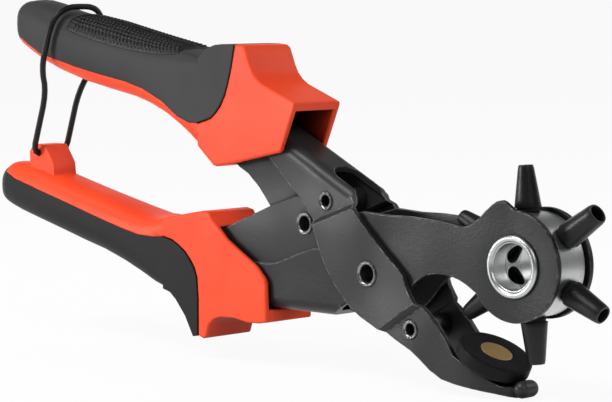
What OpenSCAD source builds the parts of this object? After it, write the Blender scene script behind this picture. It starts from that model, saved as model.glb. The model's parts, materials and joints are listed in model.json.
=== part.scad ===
// Rotary hole punch: two pressed steel levers crossing at a hollow rivet,
// a turning head of six tubes, an anvil and a wire handle lock.
// Drawn from the main rivet's centre: x to the jaws, y away from the viewer, z up.

/* [Levers] */
// sheet thickness of both pressed levers
sheet = 1.6; // [1.2:0.1:2]
// half width over the flanges of the lever that carries the head
half_width = 7.5; // [6.5:0.1:8.5]
// side gap between the two levers
lever_gap = 0.25; // [0.2:0.05:0.4]
// outside bend radius of the pressed channels
bend = 3.4; // [2.4:0.1:3.8]
// run of each sloped press-out of the frame
joggle_run = 1.5; // [1.2:0.1:1.8]
// depth of the pressed field round the lever's tie rivet
field_deep = 0.8; // [0.4:0.1:0.9]

/* [Rivets] */
// main rivet shank radius
pivot_r = 3; // [2.6:0.1:3.4]
// lever tie rivet shank radius
tie_r = 2.6; // [2.2:0.1:2.8]
// frame tie rivet shank radius
small_r = 2.1; // [1.8:0.1:2.3]
// how far each rivet head is wider than its shank
head_lip = 0.5; // [0.3:0.1:0.8]
// how far each rivet head stands proud
head_rise = 0.5; // [0.3:0.1:0.8]
// flare of a hollow rivet's mouth
lip_flare = 0.45; // [0.3:0.05:0.5]
// wall of a hollow rivet
rivet_wall = 0.55; // [0.4:0.05:0.8]
// radial play of the lever's bush on the main rivet
pivot_play = 0.06; // [0.03:0.01:0.09]

/* [Head] */
// radius of the tube tips about the head's centre
tip_radius = 26; // [25.4:0.1:26.4]
// radius of the turning core
core_radius = 13.8; // [13:0.1:14.2]
// largest radius of a tube, at its foot
tube_foot_r = 3.6; // [3.2:0.1:3.9]
// smallest hole diameter, the first tube
hole_first = 2; // [1.5:0.1:2.5]
// step in hole diameter from tube to tube
hole_step = 0.5; // [0.3:0.1:0.5]
// bearing radius of the two hub eyelets
hub_r = 7.2; // [6.8:0.1:7.4]
// radial play of the core on the hub eyelets
hub_play = 0.07; // [0.03:0.01:0.09]
// side gap between the core and the lever's cheeks
core_gap = 0.3; // [0.25:0.05:0.4]

/* [Anvil] */
// radius of the anvil pad
pad_r = 10.2; // [9:0.1:10.6]
// thickness of the anvil pad
pad_thick = 5; // [4:0.1:5.4]
// radius of the soft metal face let into the pad
face_r = 4.4; // [3.5:0.1:5.5]
// gap between a tube tip facing the anvil and the pad
tip_gap = 0.4; // [0.3:0.05:0.8]

/* [Handles] */
// half width of both handle collars
collar_half = 9.35; // [9.2:0.05:9.8]
// thickness of the soft grip over the hard handle
grip_thick = 2.1; // [1.6:0.1:2.6]
// gap between a grip and the handle under it
grip_gap = 0.08; // [0.06:0.01:0.12]
// how much further the hard handle is drawn in under its grip
core_relief = 0.3; // [0.25:0.05:0.5]
// rise of the ribbed pad above the upper grip
rib_rise = 0.6; // [0.4:0.1:0.8]
// gap between the ribbed pad and the grip under it
rib_gap = 0.1; // [0.08:0.01:0.15]

/* [Lock] */
// lock wire radius
wire_r = 0.95; // [0.8:0.05:1.1]
// play of the lock wire in its lug
wire_play = 0.08; // [0.04:0.01:0.1]
// gap between the lock loop and the top of the upper grip
loop_clear = 0.66; // [0.4:0.02:1]
// gap between the lock loop and the sides of the upper grip
loop_side = 0.8; // [0.5:0.1:1.2]

/* [Springs] */
// main spring wire radius
spring_wire = 0.6; // [0.5:0.05:0.7]
// main spring mean coil radius
spring_coil = 5.6; // [5.4:0.1:6]
// turns of the main spring
spring_turns = 4; // [3:1:4]

/* [Hidden] */
$fn = 64;
pivot = [0, 0];
wheel = [49.3, 5.6];
rear_tie = [-17.1, 18.7];
lever_tie = [-25.9, 11.8];
front_tie = [14.1, -14];
anvil_dir = -115.5;
tube_one = anvil_dir - 150;
inner = half_width - sheet;
mid_in = half_width + lever_gap;
mid_out = mid_in + sheet;
strip_out = inner - 0.3;
strip_in = strip_out - sheet;
core_half = inner - core_gap;
anvil_up = [-cos(anvil_dir), -sin(anvil_dir)];
anvil_top = wheel - (tip_radius + tip_gap) * anvil_up;
seat_top = anvil_top - pad_thick * anvil_up;
seat_run = [anvil_up[1], -anvil_up[0]];
lug_pin = [-142.6, 26];
lug_half = 4.4;
socket_half = half_width + 0.15;
core_half_y = collar_half - grip_thick;

// whole-part placing: x centre and lowest point at the origin
x_low = -160.4;
x_high = max([for (i = [0:5]) wheel[0] + tip_radius * cos(tube_one + 60 * i)
    + tip_r(i) * abs(sin(tube_one + 60 * i))]);
// a point of the lower jaw, from the middle of the anvil seat
function jaw(x, z) = seat_top + [x, z];
nose = jaw(12.12, -4.46);
nose_r = 2.3;
place = [-(x_low + x_high) / 2, 0, nose_r - nose[1]];

function tip_r(i) = max(1.9, (hole_first + hole_step * i) / 2 + 0.45);
function unit(v) = v / norm(v);
function signed_pow(v, q) = (v < 0 ? -1 : 1) * pow(abs(v), q);
function clamp(v) = max(-0.999, min(0.999, v));

// flat piece drawn in the side view, from y0 to y1
module slab(pts, y0, y1) {
    translate([0, y1, 0])
        rotate([90, 0, 0])
            linear_extrude(height = y1 - y0)
                polygon(pts);
}

// the same piece on both sides
module pair(pts, y0, y1) {
    slab(pts, y0, y1);
    slab(pts, -y1, -y0);
}

// round bar across the tool
module rod(p, r, y0, y1) {
    translate([p[0], y0, p[1]])
        rotate([-90, 0, 0])
            cylinder(r = r, h = y1 - y0);
}

// hollow rivet with a rolled lip at each end
module hollow_rivet(p, r, half) {
    bore = r - rivet_wall;
    end = half + head_rise;
    translate([p[0], 0, p[1]])
        rotate([90, 0, 0])
            rotate_extrude()
                polygon([[bore, lip_flare - end], [bore + lip_flare, -end], [r + head_lip - 0.25, -end],
                    [r + head_lip, 0.25 - end], [r + head_lip, -half], [r, -half], [r, half], [r + head_lip, half],
                    [r + head_lip, end - 0.25], [r + head_lip - 0.25, end], [bore + lip_flare, end],
                    [bore, end - lip_flare]]);
}

// spacer sleeve on a rivet
module sleeve(p, r, wall, half) {
    difference() {
        rod(p, r + wall, -half, half);
        rod(p, r + 0.02, -half - 1, half + 1);
    }
}

// round-cornered channel section: back at 0, flanges running down
module channel_section() {
    deep = bend + sheet;
    difference() {
        union() {
            translate([-half_width + bend, -deep]) square([2 * half_width - 2 * bend, deep]);
            translate([-half_width, -deep]) square([2 * half_width, sheet]);
            for (s = [-1, 1]) translate([s * (half_width - bend), -bend]) circle(r = bend);
        }
        translate([-half_width + bend, -2 * deep]) square([2 * half_width - 2 * bend, 2 * deep - sheet]);
        translate([-half_width, -2 * deep]) square([2 * half_width, deep]);
        translate([-inner, -2 * deep]) square([2 * inner, 2 * deep - bend]);
        for (s = [-1, 1]) translate([s * (half_width - bend), -bend]) circle(r = bend - sheet);
    }
}

// skin of triangles through a list of rings; shell ends close outer arc to inner arc,
// other ends close on a middle point
module loft(rings, mid_a, mid_b, shell = false) {
    n = len(rings[0]);
    m = len(rings);
    h = n / 2;
    z = (m - 1) * n;
    points = concat([for (r = rings) each r], shell ? [] : [mid_a, mid_b]);
    sides = [for (i = [0:m - 2], j = [0:n - 1], k = [0, 1])
        k == 0 ? [i * n + j, (i + 1) * n + j, i * n + (j + 1) % n]
               : [(i + 1) * n + j, (i + 1) * n + (j + 1) % n, i * n + (j + 1) % n]];
    fans = [for (j = [0:n - 1], k = [0, 1])
        k == 0 ? [j, (j + 1) % n, m * n] : [z + (j + 1) % n, z + j, m * n + 1]];
    strips = [for (j = [0:h - 2], k = [0:3])
        k == 0 ? [j, j + 1, n - 1 - j]
            : k == 1 ? [j + 1, n - 2 - j, n - 1 - j]
            : k == 2 ? [z + j + 1, z + j, z + n - 1 - j]
            : [z + n - 2 - j, z + j + 1, z + n - 1 - j]];
    polyhedron(points = points, faces = concat(sides, shell ? strips : fans), convexity = 6);
}
function mean(ring) = [for (k = [0:2]) sum([for (p = ring) p[k]]) / len(ring)];
function sum(v, i = 0) = i == len(v) ? 0 : v[i] + sum(v, i + 1);
module tube(path, r, sides, ref) {
    rings = tube_rings(path, r, sides, ref);
    loft(rings, path[0], path[len(path) - 1]);
}
module solid_loft(rings) {
    loft(rings, mean(rings[0]), mean(rings[len(rings) - 1]));
}
// a middle point under the split for a hard handle's end
function low_mid(s) = [s[0], 0, s[1] + 0.6 * (s[5] - s[1])];
module core_loft(stations) {
    loft([for (s = stations) core_ring(s)], low_mid(stations[0]), low_mid(stations[len(stations) - 1]));
}
module grip_loft(stations) {
    loft([for (s = stations) grip_ring(s)], shell = true);
}

// round tube along a path, ref is never along the path
function tube_rings(path, r, sides, ref) = [for (i = [0:len(path) - 1])
    let (a = path[max(0, i - 1)], b = path[min(len(path) - 1, i + 1)])
    let (t = unit(b - a), u = unit(cross(ref, t)), v = cross(t, u))
    [for (j = [0:sides - 1]) path[i] + r * (cos(360 * j / sides) * u + sin(360 * j / sides) * v)]];
function self_gap(path, r, apart) = min([for (i = [0:len(path) - 1], j = [0:len(path) - 1])
    if (j > i + apart) norm(path[j] - path[i])]) - 2 * r;
// rounds the corners of a path
function chaikin(p) = concat([p[0]], [for (i = [0:len(p) - 2], q = [0.25, 0.75])
    p[i] + q * (p[i + 1] - p[i])], [p[len(p) - 1]]);

// grip outlines: a station is [x, bottom, top, half width, squareness, split height]
function half_h(s) = (s[2] - s[1]) / 2;
function mid_z(s) = (s[2] + s[1]) / 2;
function oval(s, t, k) = [s[0], (s[3] - k) * signed_pow(cos(t), 2 / s[4]),
    mid_z(s) + (half_h(s) - k) * signed_pow(sin(t), 2 / s[4])];
function split_angle(s, k, z) = asin(signed_pow(clamp((z - mid_z(s)) / (half_h(s) - k)), s[4] / 2));
function arc(s, k, a, b, n) = [for (i = [0:n]) oval(s, a + (b - a) * i / n, k)];
// hard handle: full width below the split, drawn in above it
function core_ring(s) = let (a = split_angle(s, 0, s[5]), k = grip_thick + core_relief, b = split_angle(s, k, s[5]))
    concat(arc(s, 0, 180 - a, 360 + a, 14), arc(s, k, b, 180 - b, 16));
// soft grip: shell over the drawn-in part
function grip_ring(s) = let (a = split_angle(s, 0, s[5] + grip_gap),
        b = split_angle(s, grip_thick - grip_gap, s[5] + grip_gap))
    concat(arc(s, 0, a, 180 - a, 16), arc(s, grip_thick - grip_gap, 180 - b, b, 16));
function full_ring(s) = [for (i = [0:27]) oval(s, 360 * i / 28, 0)];
function rib_ring(s, drop) = let (a = split_angle(s, -rib_rise, s[2] - drop), b = split_angle(s, -rib_gap, s[2] - drop))
    concat(arc(s, -rib_rise, a, 180 - a, 14), arc(s, -rib_gap, 180 - b, b, 14));

upper_stations = [[-148, 58.6, 73, 7.5, 2.8, 61.9], [-144, 56.6, 73.4, 8.1, 2.8, 59.9],
    [-138, 53.9, 72.3, 8.5, 2.8, 57], [-130, 51.2, 70.1, 8.8, 2.8, 55.4],
    [-120, 48.6, 68.2, 9, 2.8, 53.2], [-110, 46.7, 66.6, 9.1, 2.8, 51.4],
    [-98, 44.6, 64.1, 9.2, 2.8, 49.5], [-90, 42.6, 62.4, 9.3, 3, 47.6],
    [-82, 39.8, 60.7, 9.35, 3.6, 44.4], [-75, 36.7, 59.2, 9.35, 5, 40],
    [-70, 34.1, 58.1, 9.35, 7, 38.4], [-66, 31.5, 57, 9.35, 9, 38.3]];
upper_end = [[-150.6, 62, 70, 5.2, 2.6, 0], [-150.1, 60.6, 71.5, 6.3, 2.7, 0],
    [-149.3, 59.5, 72.4, 7, 2.8, 0], [-148, 58.6, 73, 7.5, 2.8, 0]];
// the lower handle is drawn upside down
lower_stations = [[-155.5, -22.6, -8.6, 7.4, 2.6, -19.6], [-150, -22.7, -7.2, 8.4, 2.8, -17.9],
    [-140, -21, -4.8, 8.9, 2.8, -15.6], [-130, -18.6, -2.4, 9.1, 2.8, -13.2],
    [-120, -16.3, 0.1, 9.2, 2.8, -10.8], [-110, -14.1, 2.4, 9.3, 2.8, -8.3],
    [-100, -11.9, 5.4, 9.35, 3, -6], [-92, -10.2, 8.2, 9.35, 3.4, -4.4],
    [-86, -9.7, 10, 9.35, 5, -4.2], [-81, -10.1, 10.8, 9.35, 9, -4.5]];
lower_end = [[-160.4, -17.4, -12.8, 3, 2.2, 0], [-159.6, -19.6, -10.7, 5, 2.3, 0],
    [-158, -21.4, -9.4, 6.5, 2.5, 0], [-155.5, -22.6, -8.6, 7.4, 2.6, 0]];

// side outlines of the pressed steel, all in millimetres from the main rivet
web_dir = unit([51, -25.3]);
web_out = [-web_dir[1], web_dir[0]];
web_front = [-8, 22.5];
web_long = 49;
web_back = web_front - web_long * web_dir;
web_edge = -(bend + 0.6) * web_out;
crease = [[-53.6, 39.4], [-46, 35], [-38.7, 29.5], [-31, 22.4], [-26.6, 18.7]];
crease_in = [for (p = crease) p + [1.1, 1.1]];
strip_panel = concat(crease_in, [[-27.5, 17.6], [-40.2, 15.6], [-40.7, 16.2], [-44.6, 20.7],
    [-49.1, 24.5], [-52.8, 26.3], [-56.6, 29.4], [-59.3, 32], [-59.3, 36.6]]);
crease_joggle = concat(crease, [for (i = [4:-1:0]) crease_in[i]]);
seat_a = seat_top - 7.5 * seat_run;
seat_b = seat_top + 8.5 * seat_run;
flange_right = [[-6.2, 19.3], [-4.8, 17.3], [-2.9, 14.4], [0.7, 11.2], [5.3, 7], [9.9, 3.2],
    [11.6, 1.8], [12.9, 0.4], [13.6, -1.4], [14.4, -3.4], [15.8, -5.6], [16.8, -6.9], [18.4, -7.9],
    [20.2, -9.2], [23, -11.7], jaw(-9.6, 7.34)];
flange_left = [jaw(6.6, -5.76), jaw(-1.9, -4.86), jaw(-6.3, -4.36), jaw(-10.6, -3.56), [21, -24.3], [17.5, -21.8],
    [14, -19.6], [9, -17.4], [3.3, -14.5], [-2.3, -12], [-6.2, -9.6], [-8.6, -7.5], [-12.3, -3.6],
    [-15.5, 0.8], [-17.6, 4.9], [-19, 8.3], [-20.3, 11.2], [-21.2, 12.4]];
frame_outline = concat([web_back + web_edge + 0.5 * web_dir, web_front + web_edge, [-8, 20.6]], flange_right, [seat_a, seat_b,
    nose + [-1.9, 0.6], nose, nose - [1, nose_r - 0.1]], flange_left, [for (i = [4:-1:0]) crease[i]]);
// the two lines where each flange is pressed out over the lever: start, end
rear_line = [[-20.5, 11.9], [-20.5, 11.9] + 16 * [0.936, 0.352]];
front_line = [[3.6, -15], [3.6, -15] + 15 * [0.8432, 0.5376]];
// what is trimmed off the front of the folded web, past the slot
web_trim = [[-9.4, 28], [-8.1, 23.3], [-7.7, 20.9], [-6.8, 19], [-5.4, 17.1], [-4.9, 16.55], [-1, 13.6], [8, 20]];
// room for the lever under the folded web
rear_up = unit([rear_line[0][1] - rear_line[1][1], rear_line[1][0] - rear_line[0][0]]);
lever_room = [rear_line[0] + joggle_run * rear_up, rear_line[1] + joggle_run * rear_up + [7, 2.96], [10, 0], [-20, 0]];
// plan of the lower jaw, drawn in to the nose: near side outside, middle of the sheet, inside
function jaw_plan(half, runs, ins) = [for (i = [0:len(runs) - 1]) [seat_top[0] + runs[i], max(0, half - ins[i])]];
jaw_side = jaw_plan(half_width, [-4.8, -0.8, 3.2, 6.7, 9.6, 11.4, 12.1], [0, 0.2, 0.8, 1.8, 3.4, 5.3, half_width]);
jaw_middle = jaw_plan(half_width - sheet / 2, [-4.8, -1, 2.9, 6.3, 9, 10.6, 11.2],
    [0, 0.2, 0.8, 1.7, 3.2, 4.9, half_width]);
jaw_inside = jaw_plan(inner, [-4.8, -1.2, 2.5, 5.8, 8.4, 9.8, 10.4], [0, 0.2, 0.8, 1.7, 3, 4.4, half_width]);
jaw_start = seat_top[0] - 5.8;
trough = [[20.2, -23.8], jaw(-10.6, -3.56), jaw(-1.9, -4.86), jaw(6.6, -5.76), nose + [-1, 0.1 - nose_r],
    nose - [0, 1], jaw(6.6, -4.16), jaw(-1.9, -3.26), jaw(-10.2, -1.96), [21, -22.4]];
seat_block = [seat_a + seat_run, seat_b - 0.6 * seat_run, jaw(6.4, -4.06), jaw(-1.9, -3.16), jaw(-7.3, -2.36)];

// the head lever: handle tongue, pivot field, neck and cheeks
lever_top = [[-60, 7.5], [-55.7, 9.3], [-38.7, 16.2], [-28.4, 19.6], [-27, 18.4], [-21.7, 12.1], [-20.9, 10.4],
    [-16.4, 8], [-14.8, 9.3], [-12.5, 12.2], [-8.5, 15.2], [-3, 16.7], [5.6, 16.2], [13.4, 16.3],
    [17.9, 16.1], [23.7, 15.6], [29.5, 14.9], [32, 14.9], [34.1, 15.2]];
lever_low = [[37.6, -2.7], [33.6, -0.4], [31, 0.7], [28.4, 1.4], [25.5, 1.7], [22.6, 1.6], [20, 1.1],
    [17.9, 0.3], [15.5, -1.4], [13, -4], [10, -7.5], [6, -11], [0, -12.5], [-6, -11.2],
    [-10.8, -10], [-12, -13.1 + bend], [-60, -13.1 + bend]];
hump = [[36, 16.2], [38, 17.7], [40, 19.6], [42, 21.2], [43.6, 22.2], [45.3, 22.6], [46.5, 22.2],
    [47.5, 21.5], [49.7, 20.1]];
step_field = [[-60, -0.3], [-43.8, -0.3], [-39.3, -0.4], [-36, 0.2], [-32.7, 1.4], [-29.4, 2.7],
    [-26.1, 3.9], [-22.9, 4.9], [-19.7, 5.5], [-17, 7], [-14, 14], [-29, 24], [-62, 12]];

// sheet pressed out beside a line, way +1 below it and -1 above it
module press_out(line, way) {
    run = line[1] - line[0];
    translate([line[0][0], 0, line[0][1]])
        rotate([0, 90 - atan2(run[1], run[0]), 0])
            linear_extrude(height = 160, center = true)
                polygon([[-18 * way, mid_in], [0, mid_in], [joggle_run * way, inner], [70 * way, inner],
                    [70 * way, half_width], [joggle_run * way, half_width], [0, mid_out], [-18 * way, mid_out]]);
}

module frame_flange() {
    intersection() {
        slab(frame_outline, 0, 20);
        union() {
            press_out(rear_line, -1);
            press_out(front_line, 1);
        }
        translate([-100, 0, -100]) cube([100 + jaw_start, 20, 200]);
    }
}

// upright block over a plan of the jaw, from x0 to the nose
module jaw_block(side, x0) {
    linear_extrude(height = 80, center = true)
        polygon(concat([[x0, side[0][1]]], side, [for (i = [len(side) - 2:-1:0]) [side[i][0], -side[i][1]]],
            [[x0, -side[0][1]]]));
}

// walls of the lower jaw, closing round the nose
module jaw_walls() {
    intersection() {
        slab(frame_outline, -20, 20);
        difference() {
            jaw_block(jaw_side, jaw_start - 0.5);
            jaw_block(jaw_inside, 0);
        }
    }
}

module frame_channel() {
    color([0.1, 0.1, 0.1])
    difference() {
        union() {
            difference() {
                translate([web_back[0], 0, web_back[1]])
                    rotate([0, 90 - atan2(web_dir[1], web_dir[0]), 0])
                        rotate([0, 0, 90])
                            linear_extrude(height = web_long + 6.5)
                                channel_section();
                slab(lever_room, -20, 20);
            }
            frame_flange();
            mirror([0, 1, 0]) frame_flange();
            pair(crease_joggle, strip_in, half_width);
            pair(strip_panel, strip_in, strip_out);
            jaw_walls();
            intersection() {
                slab(trough, -inner - 0.5, inner + 0.5);
                jaw_block(jaw_middle, 0);
            }
            rod(nose, nose_r, -1.6, 1.6);
            for (s = [-1, 1]) translate([nose[0], s * 1.6, nose[1]]) sphere(r = nose_r);
        }
        slab(web_trim, -20, 20);
        translate([web_front[0] - 6.5 * web_dir[0], 0, web_front[1] - 6.5 * web_dir[1]])
            rotate([0, 90 - atan2(web_out[1], web_out[0]), 0]) {
                cylinder(r = inner - 0.6, h = 12, center = true);
                translate([0, 0.6 - inner, -6]) cube([20, 2 * inner - 1.2, 12]);
            }
        rod(pivot, pivot_r, -20, 20);
        rod(rear_tie, small_r, -20, 20);
        rod(front_tie, small_r, -20, 20);
    }
}

module lever_channel() {
    color([0.12, 0.12, 0.12])
    difference() {
        union() {
            translate([-60, 0, -13.1])
                rotate([0, 90, 0])
                    rotate([0, 0, -90])
                        linear_extrude(height = 50)
                            channel_section();
            slab(concat(lever_top, hump, [wheel], lever_low), -half_width, -inner);
            slab(concat(lever_top, [[38, 14.5], wheel], lever_low), inner, half_width);
            rod(wheel, 14.7, -half_width, -inner);
            rod(wheel, 14.7, inner, half_width);
        }
        pair(step_field, half_width - field_deep, half_width + 1);
        slab([[-16.3, -13.3], [-8, -8.3], [-8, -16], [-16.3, -16]], -20, 20);
        rod(pivot, pivot_r + pivot_play + 1.15, -20, 20);
        rod(lever_tie, tie_r, -20, 20);
        rod(wheel, hub_r, -20, 20);
        for (i = [0:5])
            rod(wheel + click_radius * [cos(click_turn + 60 * i), sin(click_turn + 60 * i)], 0.8, inner - 1, inner + 0.4);
    }
}
click_turn = tube_one;
click_radius = core_radius - 3.3;
ball_r = 1.5;
ball_y = core_half + 0.2 - ball_r;
click_deep = 6;
click_coil = 1.1;
click_wire = 0.16;

module upper_handle() {
    color([0.85, 0.2, 0.13])
    difference() {
        union() {
            core_loft(upper_stations);
            slab([[-66, 38.3], [-60.9, 39.8], [-58.5, 41.7], [-56.7, 43.7], [-55, 46.6], [-53.7, 50],
                [-52.3, 54.8], [-51.3, 59.2], [-50.9, 61.2], [-49.3, 61.1], [-47.6, 60.9], [-46.4, 60],
                [-45.6, 58], [-44.6, 55.4], [-43.4, 53.2], [-41.6, 51.3], [-39.6, 50], [-37, 49],
                [-27.2, 45.3], [-27.6, 43.8], [-32.9, 31.4], [-50.7, 27.6], [-58.6, 26.2], [-59.8, 26.4],
                [-66, 31.5]], -collar_half, collar_half);
            slab([[-66, 38.3], [-60.9, 39.8], [-58.5, 41.7], [-56.7, 43.7], [-55, 46.6], [-53.7, 50],
                [-52.3, 54.8], [-51.6, 58.2], [-56, 58.4], [-61, 57.3], [-66, 54.9]], -core_half_y, core_half_y);
        }
        slab([[-52.3, 48], [-45, 46.3], [-27, 42.6], [-18, 42], [-18, 20], [-53.6, 20], [-53.6, 26.6],
            [-57.4, 29.6], [-60, 32], [-60, 37.2], [-57.5, 39.4], [-55.5, 42], [-53.8, 45.2]], -socket_half, socket_half);
    }
}

module upper_grip() {
    color([0.13, 0.13, 0.14]) {
        grip_loft(upper_stations);
        solid_loft([for (s = upper_end) full_ring(s)]);
        difference() {
            slab([[-66, 57], [-64, 58.8], [-61.8, 60], [-59, 60.9], [-56, 61.2], [-51.1, 61.2], [-51.5, 59.2],
                [-52.5, 54.8], [-53.9, 50], [-55.2, 46.7], [-56.9, 43.9], [-58.6, 42], [-60.9, 40.1],
                [-66, 38.6]], -collar_half, collar_half);
            slab([[-67, 38], [-60.9, 39.8], [-58.5, 41.7], [-56.7, 43.7], [-55, 46.6], [-53.7, 50],
                [-52.3, 54.8], [-51.5, 58.3], [-56, 58.5], [-61, 57.4], [-67, 54.5]],
                -core_half_y - grip_gap, core_half_y + grip_gap);
        }
    }
}

module upper_rib_pad() {
    rows = [[-124.4, 4.6], [-120, 5.1], [-110, 5.6], [-98, 5.1], [-90, 4.2], [-82, 3], [-75.6, 1.4]];
    color([0.08, 0.08, 0.08])
        loft([for (r = rows) rib_ring(station_at(r[0]), r[1])], shell = true);
}
function station_at(x) = let (i = max([for (k = [0:len(upper_stations) - 2]) if (upper_stations[k][0] <= x) k]),
        a = upper_stations[i], b = upper_stations[i + 1])
    a + (b - a) * (x - a[0]) / (b[0] - a[0]);

module lower_handle() {
    color([0.85, 0.2, 0.13])
    difference() {
        union() {
            mirror([0, 0, 1]) core_loft(lower_stations);
            slab([[-81, 10.1], [-75.7, 11], [-69, 12.3], [-64.4, 13.1], [-61.6, 12.6], [-60.6, 11],
                [-54.4, 5.5], [-42.6, -1.3], [-39.6, -4.2], [-38.6, -6], [-38.4, -17], [-42, -17.6],
                [-46.4, -17.7], [-51.8, -16.9], [-57.3, -17.2], [-60, -18.2], [-61.7, -19.8], [-63, -23.7],
                [-64.4, -24], [-66.2, -23.4], [-66.2, -12], [-66.7, -6.3], [-67.8, -3.6], [-69.5, -1.4],
                [-71.6, 0.7], [-74.5, 2.5], [-77.5, 3.9], [-81, 4.5]], -collar_half, collar_half);
            slab([[-81, 4.5], [-77.5, 3.9], [-74.5, 2.5], [-71.6, 0.7], [-69.5, -1.4], [-67.8, -3.6],
                [-66.7, -6.3], [-66.2, -12], [-66.2, -20], [-68, -19.6], [-70.5, -15.6], [-74.5, -11.4],
                [-81, -8.7]], -core_half_y, core_half_y);
            slab([[-146.8, 18], [-146.8, 26.4], [-145, 28.6], [-139.6, 28.6], [-135.6, 23], [-134.6, 15]], -lug_half, lug_half);
        }
        slab([[-61.5, -13.3], [-30, -13.3], [-30, 22], [-38.7, 17.6], [-55.7, 9.9], [-61.5, 7.4]],
            -socket_half, socket_half);
        rod(lug_pin, wire_r + wire_play, -10, 10);
    }
}

module lower_grip() {
    color([0.13, 0.13, 0.14]) {
        mirror([0, 0, 1]) grip_loft(lower_stations);
        mirror([0, 0, 1]) solid_loft([for (s = lower_end) full_ring(s)]);
        difference() {
            slab([[-81, 4.3], [-77.6, 3.7], [-74.6, 2.3], [-71.7, 0.5], [-69.7, -1.6], [-68, -3.8],
                [-66.9, -6.4], [-66.4, -12], [-66.4, -23.4], [-68.3, -23.7], [-71.7, -17.9], [-75.6, -13.5],
                [-78, -11.6], [-81, -10.8]], -collar_half, collar_half);
            slab([[-82, 5], [-77.5, 3.9], [-74.5, 2.5], [-71.6, 0.7], [-69.5, -1.4], [-67.8, -3.6],
                [-66.7, -6.3], [-66.1, -12], [-66.1, -20.1], [-68.1, -19.7], [-70.6, -15.7], [-74.6, -11.5],
                [-82, -8.4]], -core_half_y - grip_gap, core_half_y + grip_gap);
        }
    }
}

module pivot_rivet() {
    color([0.75, 0.76, 0.78]) hollow_rivet(pivot, pivot_r, mid_out);
}

module rear_rivet() {
    color([0.75, 0.76, 0.78]) hollow_rivet(rear_tie, small_r, half_width);
}

module rear_spacer() {
    color([0.5, 0.5, 0.52]) sleeve(rear_tie, small_r, 1, inner);
}

module front_rivet() {
    color([0.75, 0.76, 0.78]) hollow_rivet(front_tie, small_r, half_width);
}

module front_spacer() {
    color([0.5, 0.5, 0.52]) sleeve(front_tie, small_r, 1, inner);
}

module lever_rivet() {
    color([0.75, 0.76, 0.78]) hollow_rivet(lever_tie, tie_r, half_width - field_deep);
}

module lever_spacer() {
    color([0.5, 0.5, 0.52]) sleeve(lever_tie, tie_r, 1, inner);
}

module pivot_bush() {
    color([0.7, 0.55, 0.3])
    difference() {
        rod(pivot, pivot_r + pivot_play + 1.15, -half_width, half_width);
        rod(pivot, pivot_r + pivot_play, -half_width - 1, half_width + 1);
    }
}

// things standing on the anvil's own axis, z up from the pad's top
module on_anvil() {
    translate([anvil_top[0], 0, anvil_top[1]])
        rotate([0, 90 - atan2(anvil_up[1], anvil_up[0]), 0])
            children();
}

module anvil_pad() {
    color([0.07, 0.07, 0.08])
    difference() {
        on_anvil() rotate_extrude()
            polygon([[0, -pad_thick], [pad_r - 2.4, -pad_thick], [pad_r, 1.4 - pad_thick],
                [pad_r, -0.4], [pad_r - 0.4, 0], [0, 0]]);
        on_anvil() translate([0, 0, -1.5]) cylinder(r = face_r + 0.02, h = 3);
        on_anvil() translate([0, 0, -pad_thick - 1]) cylinder(r = 2.02, h = pad_thick);
    }
}

module anvil_face() {
    color([0.72, 0.52, 0.2])
        on_anvil() translate([0, 0, -1.48]) cylinder(r = face_r, h = 1.48);
}

module anvil_rivet() {
    color([0.6, 0.6, 0.62])
        on_anvil() translate([0, 0, -pad_thick - 2.5]) cylinder(r = 2, h = 3.5);
}

module anvil_seat() {
    color([0.14, 0.14, 0.14])
    difference() {
        intersection() {
            slab(seat_block, -inner, inner);
            jaw_block(jaw_inside, 0);
        }
        on_anvil() translate([0, 0, -pad_thick - 2.55]) cylinder(r = 2.02, h = 6);
    }
}

// hub eyelet with a rolled rim, on the near cheek
module hub_eyelet() {
    rotate([90, 0, 0]) rotate_extrude() {
        difference() {
            union() {
                translate([hub_r - 1, 3]) square([1, half_width - 3]);
                translate([hub_r - 1, half_width]) square([2, 0.35]);
                translate([hub_r + 0.2, half_width + 0.2]) circle(r = 0.9);
            }
            translate([hub_r, half_width - 3]) square([4, 3]);
        }
    }
}

module hub_near() {
    color([0.78, 0.8, 0.82]) translate([wheel[0], 0, wheel[1]]) hub_eyelet();
}

module hub_far() {
    color([0.78, 0.8, 0.82]) translate([wheel[0], 0, wheel[1]]) mirror([0, 1, 0]) hub_eyelet();
}

module head_core() {
    color([0.8, 0.81, 0.82])
    difference() {
        translate([wheel[0], 0, wheel[1]]) rotate([90, 0, 0]) rotate_extrude()
            polygon([[hub_r - 1, -core_half], [core_radius - 0.8, -core_half], [core_radius, -core_half + 0.8],
                [core_radius, core_half - 0.8], [core_radius - 0.8, core_half], [hub_r - 1, core_half]]);
        rod(wheel, hub_r + hub_play, -core_half - 1, -2.9);
        rod(wheel, hub_r + hub_play, 2.9, core_half + 1);
        for (i = [0:5]) on_head(i) cylinder(r = 2.8, h = 30);
        rod(click_at(0), ball_r + 0.05, core_half - click_deep, core_half + 1);
    }
}

// frame of tube i, z outward from the head's centre
module on_head(i) {
    translate([wheel[0], 0, wheel[1]])
        rotate([0, 90 - tube_one - 60 * i, 0])
            children();
}
function click_at(i) = wheel + click_radius * [cos(tube_one + 30), sin(tube_one + 30)];

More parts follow.
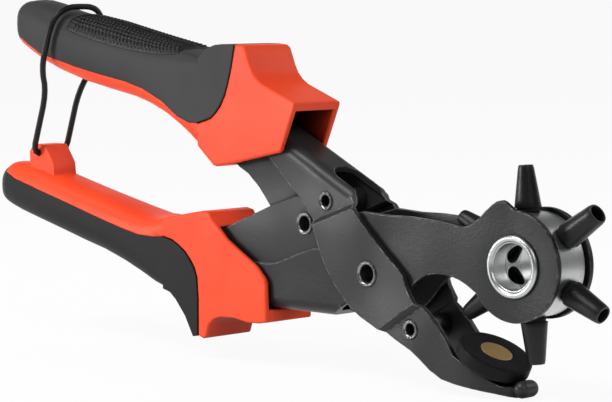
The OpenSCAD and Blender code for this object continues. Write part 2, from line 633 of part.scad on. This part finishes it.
module punch_tube(i) {
    hole = (hole_first + hole_step * i) / 2;
    color([0.1, 0.1, 0.1])
    on_head(i)
        difference() {
            union() {
                translate([0, 0, 8]) cylinder(r = 2.75, h = core_radius - 7.9);
                translate([0, 0, core_radius]) cylinder(r = tube_foot_r - 0.5, h = 1.2);
                translate([0, 0, core_radius + 1.1])
                    cylinder(r1 = tube_foot_r, r2 = tip_r(i) + 0.25, h = tip_radius - core_radius - 2.1);
                translate([0, 0, tip_radius - 1]) cylinder(r1 = tip_r(i) + 0.25, r2 = tip_r(i), h = 1);
            }
            translate([0, 0, 7]) cylinder(r = hole, h = 30);
            translate([0, 0, 7]) cylinder(r = min(2.4, hole + 0.25), h = tip_radius - 11);
        }
}

module tube_1() { punch_tube(0); }
module tube_2() { punch_tube(1); }
module tube_3() { punch_tube(2); }
module tube_4() { punch_tube(3); }
module tube_5() { punch_tube(4); }
module tube_6() { punch_tube(5); }

module click_ball() {
    color([0.8, 0.8, 0.82])
        translate([click_at(0)[0], ball_y, click_at(0)[1]]) sphere(r = ball_r);
}

click_turns = 4;
click_low = core_half - click_deep + 0.2;
click_high = ball_y - sqrt(ball_r * ball_r - click_coil * click_coil) - click_wire - 0.2;
click_pitch = (click_high - click_low) / click_turns;
click_path = [for (i = [0:click_turns * 8]) [click_at(0)[0] + click_coil * cos(45 * i),
    click_low + click_pitch * i / 8, click_at(0)[1] + click_coil * sin(45 * i)]];
module click_spring() {
    color([0.6, 0.6, 0.62]) tube(click_path, click_wire, 6, [0, 1, 0]);
}

// main spring: wound round the bush, one leg under the frame's rear sleeve, one on the lever's sleeve
spring_span = 6.4;
function leg_side(p, r) = acos((spring_coil - r - spring_wire - 0.05) / norm(p));
spring_a = atan2(rear_tie[1], rear_tie[0]) + leg_side(rear_tie, small_r + 1);
spring_b = atan2(lever_tie[1], lever_tie[0]) - leg_side(lever_tie, tie_r + 1) + 360 * spring_turns;
spring_n = ceil((spring_b - spring_a) / 45);
function spring_at(a, q) = [spring_coil * cos(a), (q - 0.5) * spring_span, spring_coil * sin(a)];
function coil_run(a) = [-sin(a), 0, cos(a)];
spring_path = concat([for (k = [28, 19, 9]) spring_at(spring_a, 0) - k * coil_run(spring_a)],
    [for (i = [0:spring_n]) spring_at(spring_a + (spring_b - spring_a) * i / spring_n, i / spring_n)],
    [for (k = [10, 20, 30]) spring_at(spring_b, 1) + k * coil_run(spring_b)]);
module return_spring() {
    color([0.55, 0.56, 0.58]) tube(spring_path, spring_wire, 6, [0, 1, 0]);
}

// lock wire: flat loop leaning forward, half of it as [height along the loop, side]
wire_lean = unit([0.318, 0.948]);
loop_at = station_at(lug_pin[0] + 15.2);
wire_long = (loop_at[2] + wire_r + loop_clear - lug_pin[1]) / wire_lean[1];
loop_out = loop_at[3] + wire_r + loop_side;
leg_out = lug_half + 2.2;
wire_half = [[0, -1.4], [0, -leg_out], [8, -leg_out], [wire_long - 27.7, -leg_out], [wire_long - 19.7, 0.2 - loop_out],
    [wire_long - 11.7, -loop_out], [wire_long - 6.7, 0.1 - loop_out], [wire_long - 3.3, 1.2 - loop_out],
    [wire_long - 1, 3.6 - loop_out], [wire_long, -4], [wire_long + 0.1, -1.2]];
function on_lean(q) = [lug_pin[0] + q[0] * wire_lean[0], q[1], lug_pin[1] + q[0] * wire_lean[1]];
wire_path = chaikin(chaikin(concat([for (q = wire_half) on_lean(q)],
    [for (i = [len(wire_half) - 1:-1:0]) on_lean([wire_half[i][0], -wire_half[i][1]])])));
module lock_wire() {
    color([0.06, 0.06, 0.06]) tube(wire_path, wire_r, 8, [wire_lean[1], 0, -wire_lean[0]]);
}

echo(main_spring_least_gap = self_gap(spring_path, spring_wire, 6));
echo(click_spring_least_gap = self_gap(click_path, click_wire, 6));
echo(place = place, anvil_top = anvil_top, seat_top = seat_top, x_high = x_high);

translate(place) {
    frame_channel();
    upper_handle();
    upper_grip();
    upper_rib_pad();
    pivot_rivet();
    rear_rivet();
    rear_spacer();
    front_rivet();
    front_spacer();
    anvil_seat();
    anvil_pad();
    anvil_face();
    anvil_rivet();
    return_spring();
    lever_channel();
    lower_handle();
    lower_grip();
    lever_rivet();
    lever_spacer();
    pivot_bush();
    hub_near();
    hub_far();
    head_core();
    tube_1();
    tube_2();
    tube_3();
    tube_4();
    tube_5();
    tube_6();
    click_ball();
    click_spring();
    lock_wire();
}
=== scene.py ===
import json
import math
import bmesh
import bpy
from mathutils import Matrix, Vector


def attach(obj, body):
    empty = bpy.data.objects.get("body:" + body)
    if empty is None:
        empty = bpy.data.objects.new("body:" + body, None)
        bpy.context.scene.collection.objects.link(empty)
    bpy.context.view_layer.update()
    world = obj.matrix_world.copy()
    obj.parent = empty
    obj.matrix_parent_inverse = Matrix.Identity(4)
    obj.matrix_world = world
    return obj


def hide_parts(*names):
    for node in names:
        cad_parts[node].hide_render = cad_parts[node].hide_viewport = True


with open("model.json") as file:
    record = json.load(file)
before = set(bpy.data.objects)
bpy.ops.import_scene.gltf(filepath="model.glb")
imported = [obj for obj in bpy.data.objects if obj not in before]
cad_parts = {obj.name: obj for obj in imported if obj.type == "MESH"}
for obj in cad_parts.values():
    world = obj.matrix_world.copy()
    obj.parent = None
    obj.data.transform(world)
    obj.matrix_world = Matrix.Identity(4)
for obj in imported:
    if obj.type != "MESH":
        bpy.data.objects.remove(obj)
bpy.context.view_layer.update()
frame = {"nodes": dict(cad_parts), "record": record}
nodes = frame["nodes"]
mm = 0.001
shift = Vector((43.289, 0.0, 29.5012))  # main rivet from the frame's origin, millimetres
print("frame loaded:", len(nodes), "nodes")


def fromPivot(x, y, z):
    return (Vector((x, y, z)) + shift) * mm


def aimed(direction):
    return direction.to_track_quat("-Z", "Y").to_euler()


def addObject(name, data):
    made = bpy.data.objects.new(name, data)
    bpy.context.scene.collection.objects.link(made)
    return made


# camera, from the photograph's fitted view: millimetres from the main rivet, degrees, pixels
viewpoint = dict(place=(454.0, -506.0, 78.2), azimuth=43.83, elevation=4.96,
                 pixels=2500.0, wide=612, sensor=36.0, near=0.01, far=80.0)


def addCamera(v):
    az, el = math.radians(v["azimuth"]), math.radians(v["elevation"])
    look = Vector((-math.sin(az) * math.cos(el), math.cos(az) * math.cos(el), -math.sin(el)))
    data = bpy.data.cameras.new("photoCamera")
    data.sensor_width = v["sensor"]
    data.lens = v["pixels"] * v["sensor"] / v["wide"]
    data.clip_start, data.clip_end = v["near"], v["far"]
    cam = addObject("photoCamera", data)
    cam.location = fromPivot(*v["place"])
    cam.rotation_euler = aimed(look)
    bpy.context.scene.camera = cam


addCamera(viewpoint)
print("camera set")


# one value in a shader tree, with arithmetic
class Value:
    def __init__(self, shading, socket):
        self.shading, self.socket = shading, socket

    def maths(self, operation, a, b):
        return self.shading.node("ShaderNodeMath", dict(operation=operation), {0: a, 1: b})

    def __add__(self, other):
        return self.maths("ADD", self, other)

    def __radd__(self, other):
        return self.maths("ADD", other, self)

    def __sub__(self, other):
        return self.maths("SUBTRACT", self, other)

    def __rsub__(self, other):
        return self.maths("SUBTRACT", other, self)

    def __mul__(self, other):
        return self.maths("MULTIPLY", self, other)

    def __rmul__(self, other):
        return self.maths("MULTIPLY", other, self)


# a node tree, of a material or of the world
class Shading:
    def __init__(self, tree):
        self.tree = tree

    def node(self, kind, settings, links, out=0):
        made = self.tree.nodes.new(kind)
        for key, value in settings.items():
            if key == "stops":
                for i, (at, colour) in enumerate(value):
                    spots = made.color_ramp.elements
                    spot = spots[i] if i < 2 else spots.new(at)
                    spot.position, spot.color = at, colour
            else:
                setattr(made, key, value)
        for key, value in links.items():
            if isinstance(value, Value):
                self.tree.links.new(value.socket, made.inputs[key])
            else:
                made.inputs[key].default_value = value
        return Value(self, made.outputs[out])

    def larger(self, first, second):
        return self.node("ShaderNodeMath", dict(operation="MAXIMUM"), {0: first, 1: second})

    def dot(self, first, second):
        return self.node("ShaderNodeVectorMath", dict(operation="DOT_PRODUCT"), {0: first, 1: second}, "Value")

    # what kind of ray asks, such as Is Camera Ray
    def ray(self, kind):
        return self.node("ShaderNodeLightPath", {}, {}, kind)


# a material with one Principled shader
class Finish(Shading):
    def __init__(self, name, **constants):
        self.material = bpy.data.materials.new(name)
        self.material.use_nodes = True
        super().__init__(self.material.node_tree)
        self.shader = self.tree.nodes["Principled BSDF"]
        for key, value in constants.items():
            self.shader.inputs[key.replace("_", " ")].default_value = value
        self.place = self.node("ShaderNodeTexCoord", {}, {}, "Object")

    def noise(self, scale, detail=3.0, rough=0.55, stretch=(1, 1, 1), warp=0.0):
        spot = self.node("ShaderNodeMapping", {}, {"Vector": self.place, "Scale": stretch})
        return self.node("ShaderNodeTexNoise", {}, {
            "Vector": spot, "Scale": scale, "Detail": detail, "Roughness": rough, "Distortion": warp})

    def cells(self, scale):
        return self.node("ShaderNodeTexVoronoi", {}, {"Vector": self.place, "Scale": scale})

    # black below low, white above high
    def ramp(self, value, low, high):
        stops = [(low, rgb(0, 0, 0)), (high, rgb(1, 1, 1))]
        return self.node("ShaderNodeValToRGB", dict(stops=stops), {"Fac": value})

    # rounded-corner normal against the flat one: bright on worn edges
    def edges(self, radius, low=0.02, high=0.2):
        soft = self.node("ShaderNodeBevel", dict(samples=4), {"Radius": radius})
        flat = self.node("ShaderNodeNewGeometry", {}, {}, "Normal")
        return self.ramp(1 - self.dot(soft, flat), low, high)

    # the Mix node's colour sockets are 6 and 7, and its colour result is 2
    def mixColour(self, amount, first, second):
        return self.node("ShaderNodeMix", dict(data_type="RGBA"), {0: amount, 6: first, 7: second}, 2)

    # how far a spot is shut in by what stands round it, from ambient occlusion: 1 deep in a hollow, 0 in the
    # open; the finishes below paint shade with it
    def shutIn(self, distance, low, high):
        openness = self.node("ShaderNodeAmbientOcclusion", dict(samples=8), {"Distance": distance}, "AO")
        return 1 - self.ramp(openness, low, high)

    # fine relief, shaded over an edge rounded to the given radius and over a slow wave in the sheet
    def bump(self, height, strength, distance, edge=0.0003, wave=0.0):
        soft = self.node("ShaderNodeBevel", dict(samples=6), {"Radius": edge})
        if wave:
            slow = self.noise(28.0, 1.0, 0.4)
            soft = self.relief(slow, 1.0, wave, soft)
        self.feed("Normal", self.relief(height, strength, distance, soft))

    def relief(self, height, strength, distance, normal):
        return self.node("ShaderNodeBump", {}, {
            "Height": height, "Strength": strength, "Distance": distance, "Normal": normal})

    def feed(self, socket, value):
        self.tree.links.new(value.socket, self.shader.inputs[socket])


def rgb(r, g, b):
    return (r, g, b, 1.0)


def grey(level):
    return rgb(level, level, level)


def redShell():
    # the near-black red for hollows is painted shade, mixed in below where ambient occlusion is high
    look = dict(colour=rgb(0.86, 0.07, 0.018), deep=rgb(0.8, 0.054, 0.013), scuff=rgb(0.9, 0.15, 0.08),
                inside=rgb(0.05, 0.004, 0.003), cloud=60.0, grain=2600.0, scratch=500.0, wear=240.0,
                edge=0.0009, shutIn=0.03, rough=0.36)
    f = Finish("redShell", IOR=1.5, Specular_IOR_Level=0.2)
    cloud = f.noise(look["cloud"], 2.0)
    grain = f.noise(look["grain"], 2.0, 0.6)
    scratch = f.noise(look["scratch"], 4.0, 0.7, (1, 6, 6), 0.4)
    worn = f.edges(look["edge"]) * f.ramp(f.noise(look["wear"], 4.0), 0.42, 0.62)
    base = f.mixColour(f.ramp(cloud, 0.3, 0.75), look["colour"], look["deep"])
    # painted shade: the colour turns near-black red where the spot is shut in, as in the collars' hollows
    shade = f.shutIn(look["shutIn"], 0.12, 0.5)
    scuffed = f.mixColour(worn * 0.5, base, look["scuff"])
    f.feed("Base Color", f.mixColour(shade, scuffed, look["inside"]))
    f.feed("Roughness", look["rough"] + 0.12 * cloud + 0.08 * f.ramp(scratch, 0.55, 0.7) + 0.2 * shade)
    f.bump(grain + 0.5 * scratch, 0.12, 0.00012, 0.0008)
    return f.material


# lit and shaded copies of one rubber: the upper grip's lighter copy is painted light, the lower grip's darker
# copy painted shade
gripLitAndShaded = dict(
    upperGripLit=dict(colour=rgb(0.025, 0.0253, 0.0255), dust=rgb(0.04, 0.0402, 0.0402)),
    lowerGripShaded=dict(colour=rgb(0.0075, 0.0073, 0.0073), dust=rgb(0.013, 0.0127, 0.0127)),
)
gripTexture = dict(cloud=45.0, grain=3200.0, pores=2400.0, edge=0.0008, rough=0.46)


def softGrip(name):
    look, texture = gripLitAndShaded[name], gripTexture
    f = Finish(name, IOR=1.45, Specular_IOR_Level=0.2, Sheen_Weight=0.03, Sheen_Roughness=0.5)
    cloud = f.noise(texture["cloud"], 3.0)
    grain = f.noise(texture["grain"], 3.0, 0.6)
    pores = f.cells(texture["pores"])
    worn = f.edges(texture["edge"])
    base = f.mixColour(f.ramp(cloud, 0.35, 0.75), look["colour"], look["dust"])
    f.feed("Base Color", f.mixColour(worn * 0.3, base, look["dust"]))
    f.feed("Roughness", texture["rough"] + 0.14 * cloud)
    f.bump(grain + 0.4 * pores, 0.25, 0.00012, 0.0006)
    return f.material


def ribbedPad():
    look = dict(colour=rgb(0.005, 0.005, 0.0055), top=rgb(0.012, 0.012, 0.013),
                rub=120.0, grain=4200.0, rough=0.36)
    f = Finish("ribbedPad", IOR=1.45, Specular_IOR_Level=0.35)
    rub = f.ramp(f.noise(look["rub"], 3.0), 0.4, 0.7)
    f.feed("Base Color", f.mixColour(rub, look["colour"], look["top"]))
    f.feed("Roughness", look["rough"] + 0.15 * rub)
    f.bump(f.noise(look["grain"], 2.0), 0.3, 0.0001)
    return f.material


# paint on steel: scales of its textures, then metres for the painted shade in corners and joints, worn edges
# and waves in the sheet, then the tone's paler share and the painted shade's colour
paint = dict(peel=1500.0, speck=3400.0, cloud=55.0, chips=420.0, shutIn=0.005, edge=0.0006, wave=0.005,
             paler=1.8, cornerShade=grey(0.003))


def blackSteel(name, colour, bare, rough, wear, shine):
    f = Finish(name, IOR=1.5, Specular_IOR_Level=shine, Coat_Roughness=0.3)
    peel = f.noise(paint["peel"], 2.0, 0.5)
    speck = f.noise(paint["speck"], 2.0, 0.6)
    cloud = f.noise(paint["cloud"], 3.0)
    # painted shade: where ambient occlusion finds a corner or a joint between parts, the colour goes near black
    # and the coat thins
    shade = f.shutIn(paint["shutIn"], 0.45, 0.9)
    spots = f.ramp(f.noise(paint["chips"], 5.0, 0.65), 0.42, 0.6)
    chip = f.edges(paint["edge"]) * spots * wear * (1 - shade)
    pale = rgb(*[c * paint["paler"] for c in colour[:3]])
    coat = f.mixColour(0.5 * cloud + 0.5 * f.ramp(speck, 0.4, 0.65), colour, pale)
    f.feed("Base Color", f.mixColour(chip, f.mixColour(shade, coat, paint["cornerShade"]), bare))
    f.feed("Metallic", chip * 0.8)
    f.feed("Roughness", rough + 0.12 * cloud + 0.08 * speck + 0.1 * chip + 0.4 * shade)
    f.feed("Coat Weight", 0.3 * shine * (1 - chip) * (1 - shade))
    f.bump(peel + 0.6 * speck, 0.35, 0.0001, paint["edge"], paint["wave"])
    return f.material


# bare metal: scales of its grime and pits, the reach of the painted shade in corners and bores, metres, and
# that painted shade's tint
metal = dict(cloud=90.0, pits=700.0, shutIn=0.006, shadeTint=(1.0, 0.92, 0.85))


# deep is the level of the painted shade in bores and corners
def plainMetal(name, colour, dark, rough, lines=(1, 1, 1), scale=900.0, pits=0.0, deep=0.012):
    f = Finish(name, IOR=1.6, Metallic=1.0)
    streak = f.noise(scale, 4.0, 0.6, lines)
    cloud = f.noise(metal["cloud"], 3.0)
    pit = f.ramp(f.noise(metal["pits"], 5.0, 0.7), 0.58, 0.72) * pits
    grime = f.ramp(cloud, 0.45, 0.8) * 0.35 + pit
    # painted shade: where ambient occlusion finds a bore or corner the colour goes dark
    shade = f.shutIn(metal["shutIn"], 0.2, 0.75)
    cornerShade = rgb(*[deep * part for part in metal["shadeTint"]])
    f.feed("Base Color", f.mixColour(shade, f.mixColour(grime, colour, dark), cornerShade))
    f.feed("Roughness", rough + 0.12 * streak + 0.15 * pit + 0.25 * shade)
    f.bump(streak - pit, 0.1, 0.0001, 0.0002)
    return f.material


bareSteel = rgb(0.45, 0.45, 0.46)  # shows where the levers' paint is worn
materials = dict(
    red_plastic=redShell(),
    # the upper grip's copy of the rubber is the lighter one, painted light
    grip_rubber=softGrip("upperGripLit"),
    pad_rubber=ribbedPad(),
    black_steel=blackSteel("leverCoat", rgb(0.009, 0.0093, 0.0095), bareSteel,
                           rough=0.28, wear=0.9, shine=0.24),
    tube_steel=blackSteel("tubeBlack", rgb(0.006, 0.006, 0.0063), rgb(0.3, 0.3, 0.31),
                          rough=0.26, wear=0.5, shine=0.26),
    anvil_black=blackSteel("anvilBlack", rgb(0.006, 0.006, 0.0065), grey(0.12),
                           rough=0.48, wear=0.15, shine=0.1),
    wire_black=blackSteel("lockWireBlack", grey(0.006), rgb(0.35, 0.35, 0.36),
                          rough=0.3, wear=0.3, shine=0.22),
    rivet_steel=plainMetal("rivetPlate", rgb(0.3, 0.305, 0.31), grey(0.14), rough=0.24, deep=0.06),
    sleeve_steel=plainMetal("sleeveTurned", rgb(0.12, 0.12, 0.125), grey(0.05),
                            rough=0.4, lines=(1, 12, 1), scale=300.0),
    spring_steel=plainMetal("springWire", rgb(0.35, 0.36, 0.37), grey(0.15), rough=0.32),
    zinc=plainMetal("castZinc", rgb(0.58, 0.595, 0.59), rgb(0.3, 0.31, 0.31),
                    rough=0.28, scale=700.0, pits=0.5),
    bronze=plainMetal("anvilBronze", rgb(0.8, 0.525, 0.2), rgb(0.42, 0.25, 0.1),
                      rough=0.36, lines=(1, 1, 10), scale=260.0, pits=0.4),
)
# nodes whose finish is a lighter or darker copy of the rest of their slot's: the frame's lighter paint is
# painted light, the lower grip's darker rubber painted shade
litAndShadedCopies = dict(
    lower_grip=softGrip("lowerGripShaded"),
    # the frame's lighter copy of the levers' paint: painted light
    frame_channel=blackSteel("frameCoatLit", rgb(0.02, 0.0205, 0.0205), bareSteel,
                             rough=0.28, wear=0.9, shine=0.24),
)
print("finishes made:", len(materials) + len(litAndShadedCopies))

# edge rounding of each CAD node: millimetres, segments, and whether short edges hold it back
plainRound = (0.12, 2, True)
rivetRound = (0.22, 3, True)
rounding = dict(
    lever_channel=(0.2, 2, False), head_core=(0.2, 2, True),
    anvil_pad=(0.3, 3, True), anvil_seat=(0.2, 2, False),
    pivot_rivet=rivetRound, rear_rivet=rivetRound, front_rivet=rivetRound, lever_rivet=rivetRound,
)
roundedTurn = 32  # degrees between faces from which an edge is rounded
joinGap = 0.000002  # metres between vertices that count as one
# moulded shells: a wider round on the collar, ahead of the step where it meets the handle, and crisp edges
# elsewhere; millimetres, segments, degrees from which an edge is wide or crisp, and the step's x in metres
shellRound = dict(wide=0.7, segments=4, least=51, crisp=30, margin=0.0002, spotsPerMetre=20000)
shellStep = dict(upper_handle=-0.022711, lower_handle=-0.03771)


def spotKey(*places):
    return frozenset(tuple(round(c * shellRound["spotsPerMetre"]) for c in place) for place in places)


# the angles are read on a joined copy, because the CAD mesh has separate faces
def markShellEdges(mesh, form, step):
    joined = bmesh.new()
    joined.from_mesh(mesh)
    bmesh.ops.remove_doubles(joined, verts=joined.verts, dist=joinGap)
    wide, crisp = set(), set()
    for edge in joined.edges:
        a, b = (v.co for v in edge.verts)
        turn = math.degrees(edge.calc_face_angle(0.0))
        onCollar = min(a.x, b.x) > step - form["margin"] and max(a.x, b.x) > step + form["margin"]
        if onCollar and turn > form["least"]:
            wide.add(spotKey(a, b))
        elif turn > form["crisp"]:
            crisp.add(spotKey(a, b))
    joined.free()
    spots = [v.co for v in mesh.vertices]
    keys = [spotKey(*(spots[i] for i in edge.vertices)) for edge in mesh.edges]
    for name, kind, chosen in (("bevel_weight_edge", "FLOAT", wide), ("sharp_edge", "BOOLEAN", crisp)):
        layer = mesh.attributes.get(name) or mesh.attributes.new(name, kind, "EDGE")
        layer.data.foreach_set("value", [key in chosen for key in keys])


def smooth(mesh):
    mesh.polygons.foreach_set("use_smooth", [True] * len(mesh.polygons))


def dressNode(name, slotName):
    obj = nodes[name]
    obj.data.materials.clear()
    obj.data.materials.append(litAndShadedCopies.get(name) or materials[slotName])
    size, segments, held = rounding.get(name, plainRound)
    weld = obj.modifiers.new("joinFaces", "WELD")
    weld.merge_threshold = joinGap
    soft = obj.modifiers.new("softEdges", "BEVEL")
    soft.limit_method, soft.angle_limit = "ANGLE", math.radians(roundedTurn)
    if name in shellStep:
        markShellEdges(obj.data, shellRound, shellStep[name])
        size, segments, held = shellRound["wide"], shellRound["segments"], False
        soft.limit_method = "WEIGHT"
    soft.width, soft.segments, soft.use_clamp_overlap = size * mm, segments, held
    obj.modifiers.new("evenNormals", "WEIGHTED_NORMAL").keep_sharp = True
    smooth(obj.data)


for part in frame["record"]["subparts"]:
    dressNode(part["node"], part["material_slot"])
print("nodes dressed")

# ribbed pad on the upper grip: the grip's own section, raised into staggered scales, in millimetres.
# Each station is x, lowest, highest, half width and squareness; drop is how far the pad comes down the sides.
padForm = dict(
    stations=[(-130, 51.2, 70.1, 8.8, 2.8), (-120, 48.6, 68.2, 9.0, 2.8), (-110, 46.7, 66.6, 9.1, 2.8),
              (-98, 44.6, 64.1, 9.2, 2.8), (-90, 42.6, 62.4, 9.3, 3.0), (-82, 39.8, 60.7, 9.35, 3.6),
              (-75, 36.7, 59.2, 9.35, 5.0)],
    drop=[(-124.4, 4.6), (-120, 5.1), (-110, 5.6), (-98, 5.1), (-90, 4.2), (-82, 3.0), (-75.6, 1.4)],
    base=0.05, rise=0.75, groove=0.12, back=0.4, pitch=1.55, across=13, alongPower=0.8, acrossPower=0.5,
    rimAcross=12, rimAlong=14, widest=0.999, alongSteps=260, aroundSteps=104)


def between(table, x):
    for a, b in zip(table, table[1:]):
        if x <= b[0]:
            t = max(0.0, (x - a[0]) / (b[0] - a[0]))
            return [p + (q - p) * t for p, q in zip(a, b)]
    return list(table[-1])


def gripPoint(station, x, angle, out):
    _, low, top, half, square = station
    c, s = math.cos(angle), math.sin(angle)
    y = (half + out) * math.copysign(abs(c) ** (2 / square), c)
    z = (low + top) / 2 + ((top - low) / 2 + out) * math.copysign(abs(s) ** (2 / square), s)
    return fromPivot(x, y, z)


# height of the scales at x, a share across of the pad's width and a share along of its length
def scaleHeight(form, x, across, along):
    row = math.floor(across * form["across"])
    scale = abs(math.sin(math.pi * (x / form["pitch"] + 0.5 * (row % 2)))) ** form["alongPower"]
    scale *= abs(math.sin(math.pi * across * form["across"])) ** form["acrossPower"]
    rim = min(1.0, form["rimAcross"] * across, form["rimAcross"] * (1 - across),
              form["rimAlong"] * along, form["rimAlong"] * (1 - along))
    return form["base"] + rim * (form["groove"] + (form["rise"] - form["groove"]) * scale)


def addRibbedPad(form):
    first, last = form["drop"][0][0], form["drop"][-1][0]
    n, m = form["alongSteps"], form["aroundSteps"]
    points, faces = [], []
    for i in range(n + 1):
        x = first + (last - first) * i / n
        station = between(form["stations"], x)
        _, low, top, _, square = station
        edge = (top - between(form["drop"], x)[1] - (low + top) / 2) / ((top - low) / 2)
        start = math.asin(min(form["widest"], edge) ** (square / 2))
        for j in range(m + 1):
            across = j / m
            angle = start + (math.pi - 2 * start) * across
            points.append(gripPoint(station, x, angle, scaleHeight(form, x, across, i / n)))
    for i in range(n):
        for j in range(m):
            a = i * (m + 1) + j
            faces.append((a, a + 1, a + m + 2, a + m + 1))
    mesh = bpy.data.meshes.new("ribbedPad")
    mesh.from_pydata(points, [], faces)
    smooth(mesh)
    pad = addObject("ribbedPad", mesh)
    thick = pad.modifiers.new("padBack", "SOLIDIFY")
    thick.thickness, thick.offset = form["back"] * mm, -1
    pad.data.materials.append(materials["pad_rubber"])
    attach(pad, "frame")
    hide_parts("upper_rib_pad")


addRibbedPad(padForm)
print("ribbed pad made")


# floor and light, in metres
paperRun = Vector((-0.692, 0.722, 0.0))  # the way the paper sheet runs back under the tool
paper = dict(front=-0.3, back=40.0, halfFront=0.3, halfBack=7.5, low=-0.0005, tone=0.86, glow=0.92)


# white for the camera and for reflections, but with the tool's shadow, and clear from below
def paleFloor(form):
    f = Finish("paleFloor", Roughness=0.6, Specular_IOR_Level=0.2, Base_Color=grey(form["tone"]))
    seen = f.larger(f.larger(f.ray("Is Camera Ray"), f.ray("Is Glossy Ray")), f.ray("Is Transmission Ray"))
    glow = f.node("ShaderNodeEmission", {}, {"Color": grey(1), "Strength": 1.0}, "Emission")
    lit = Value(f, f.shader.outputs[0])
    mixed = f.node("ShaderNodeMixShader", {}, {0: seen * form["glow"], 1: lit, 2: glow}, "Shader")
    under = f.node("ShaderNodeNewGeometry", {}, {}, "Backfacing")
    clear = f.node("ShaderNodeBsdfTransparent", {}, {}, "BSDF")
    sheet = f.node("ShaderNodeMixShader", {}, {0: under, 1: mixed, 2: clear}, "Shader")
    f.tree.links.new(sheet.socket, f.tree.nodes["Material Output"].inputs["Surface"])
    return f.material


def addFloor(form):
    mesh = bpy.data.meshes.new("floor")
    side = Vector((paperRun.y, -paperRun.x, 0.0))
    corners = []
    for along, half in ((form["front"], form["halfFront"]), (form["back"], form["halfBack"])):
        for way in (-1, 1):
            spot = paperRun * along + side * half * way
            corners.append((spot.x, spot.y, form["low"]))
    mesh.from_pydata(corners, [], [(0, 1, 3, 2)])
    floor = addObject("floor", mesh)
    floor.data.materials.append(paleFloor(form))


# the room's light, and what reflections see of it: a white wall behind the tool that fades at the sides, where
# behind is the cosine to the paper's run, and above a height, where top is the sine of the elevation
room = dict(light=0.36, dim=0.08, behind=(0.1, 0.6), top=(0.34, 0.5))


def addWorld(form):
    world = bpy.data.worlds.new("studio")
    bpy.context.scene.world = world
    world.use_nodes = True
    w = Shading(world.node_tree)

    def fade(value, span, start, end):
        return w.node("ShaderNodeMapRange", {}, {
            "Value": value, "From Min": span[0], "From Max": span[1], "To Min": start, "To Max": end})

    way = w.node("ShaderNodeTexCoord", {}, {}, "Generated")
    behind = w.dot(way, paperRun)
    height = w.node("ShaderNodeSeparateXYZ", {}, {0: way}, "Z")
    wall = fade(behind, form["behind"], form["dim"], 1.0)
    card = fade(height, form["top"], 1.0, form["dim"])
    white = w.node("ShaderNodeMath", dict(operation="MINIMUM"), {0: wall, 1: card})
    shine = w.node("ShaderNodeMix", {}, {0: w.ray("Is Glossy Ray"), 2: form["light"], 3: white})
    seen = w.larger(w.ray("Is Camera Ray"), w.ray("Is Transmission Ray"))
    level = w.node("ShaderNodeMix", {}, {0: seen, 2: shine, 3: 1.0})
    back = w.tree.nodes["Background"]
    back.inputs["Color"].default_value = grey(1)
    w.tree.links.new(level.socket, back.inputs["Strength"])


# soft lamps: place and size in metres, power in watts
middle = Vector((0.0, 0.0, 0.05))  # of the tool, where they point
lamps = dict(
    topLeft=dict(place=(-0.3, -0.6, 1.0), size=(0.6, 0.4), power=8.0),
    sideSoft=dict(place=(-0.4, -0.44, 0.13), size=(0.16, 0.14), power=1.7),
    frontFill=dict(place=(0.95, -0.35, 0.75), size=(0.7, 0.6), power=3.0),
    backRim=dict(place=(0.6, 0.8, 0.7), size=(0.6, 0.5), power=2.0),
)


def addLamp(name, form):
    data = bpy.data.lights.new(name, "AREA")
    data.shape, data.energy = "RECTANGLE", form["power"]
    data.size, data.size_y = form["size"]
    lamp = addObject(name, data)
    lamp.location = form["place"]
    lamp.rotation_euler = aimed(middle - Vector(form["place"]))


addFloor(paper)
addWorld(room)
for lampName, lampForm in lamps.items():
    addLamp(lampName, lampForm)
bpy.context.scene.view_settings.view_transform = "Standard"
print("floor and lights set")
